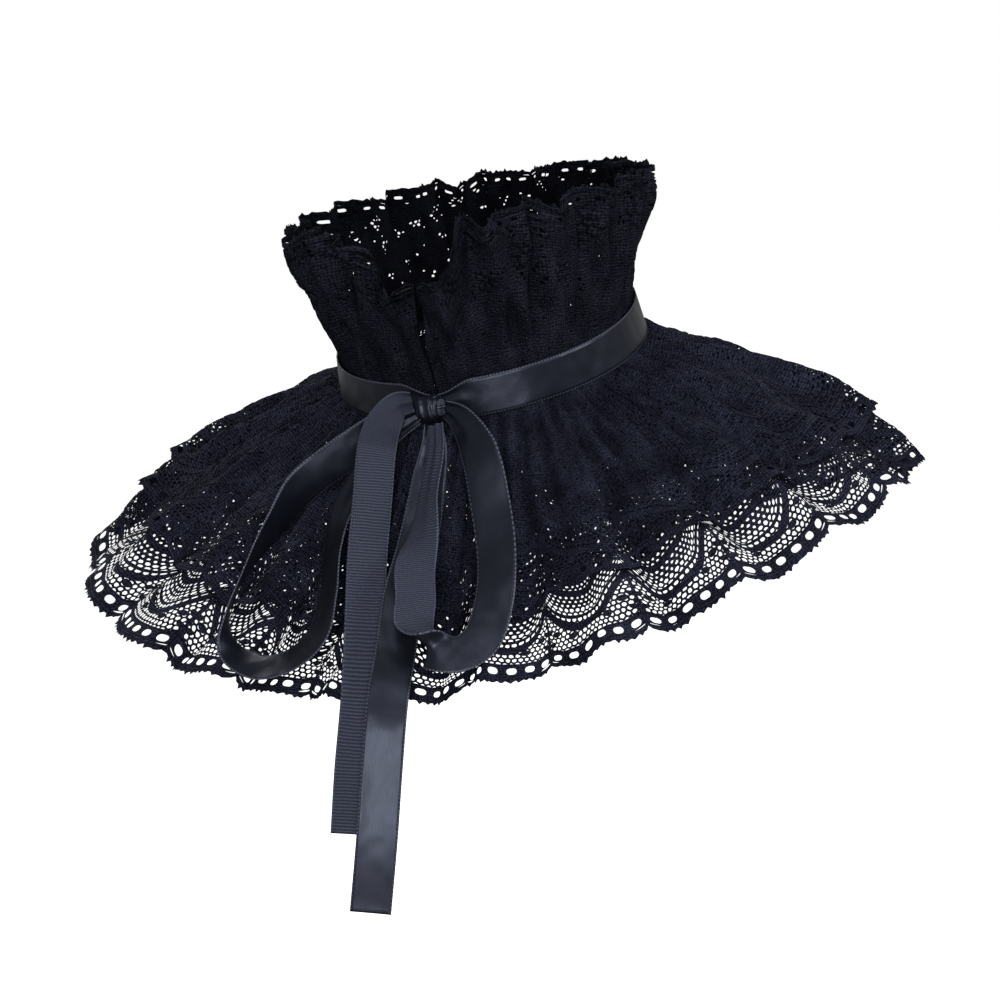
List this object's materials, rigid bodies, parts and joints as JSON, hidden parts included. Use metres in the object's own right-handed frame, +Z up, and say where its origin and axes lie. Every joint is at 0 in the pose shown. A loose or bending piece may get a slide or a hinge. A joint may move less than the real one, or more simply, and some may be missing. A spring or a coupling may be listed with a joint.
{
  "type": "lace false collar",
  "caption": "Black lace false collar in its worn shape: a gathered standing frill, two gathered tiers over the shoulders and a satin ribbon tied in a bow at the front.",
  "frame": {"origin": "middle of the neckline, inside the ribbon, where the wearer's neck holds the collar", "axes": "+Z up, -Y the wearer's front, +X the wearer's left"},
  "size_m": [0.345, 0.2841, 0.264],
  "materials": {
    "lace": "matte black cord lace with a faint blue cast",
    "satin": "black satin ribbon, glossy on its face and ribbed on its back"
  },
  "bodies": {
    "root": {"lower_tier_left": "lace", "lower_tier_right": "lace", "upper_tier": "lace", "standing_frill": "lace", "neck_ribbon": "satin", "bow_knot": "satin", "bow_loop_right": "satin", "bow_loop_left": "satin", "tail_under": "satin", "tail_over": "satin"}
  },
  "joints": []
}
